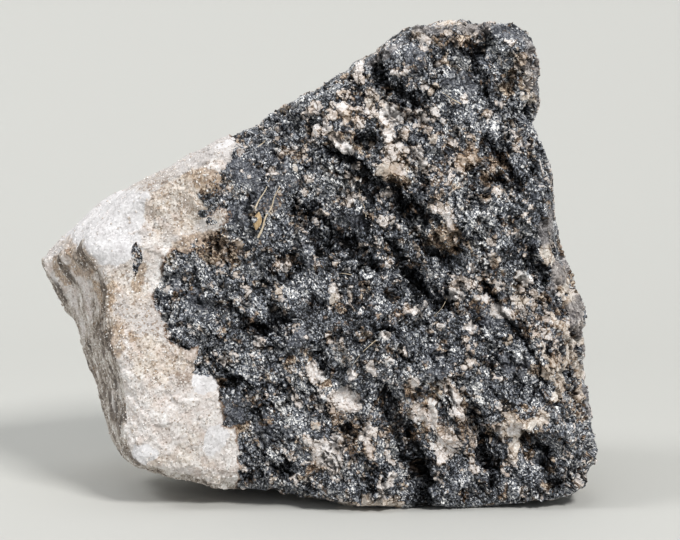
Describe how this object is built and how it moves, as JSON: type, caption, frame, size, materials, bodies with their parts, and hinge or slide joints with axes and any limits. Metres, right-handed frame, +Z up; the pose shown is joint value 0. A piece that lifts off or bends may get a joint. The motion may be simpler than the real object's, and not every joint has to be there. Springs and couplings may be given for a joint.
{
  "type": "antigorite specimen",
  "caption": "Hand-sized rough mineral specimen: one broken block of dark hackly rock with a pale granular matrix along one end, resting on a small flat spot.",
  "frame": {"origin": "bottom centre of the bounding box, on the surface that the stone rests on", "axes": "+Z up, +X to the viewer's right across the broken front face, +Y away from the viewer; the front face looks toward -Y and leans back by 8 degrees"},
  "size_m": [0.1264, 0.066, 0.1078],
  "materials": {
    "stone": "rough dark rock with glinting grains and a pale matrix at its left end"
  },
  "bodies": {
    "root": {"stone": "stone"}
  },
  "joints": []
}
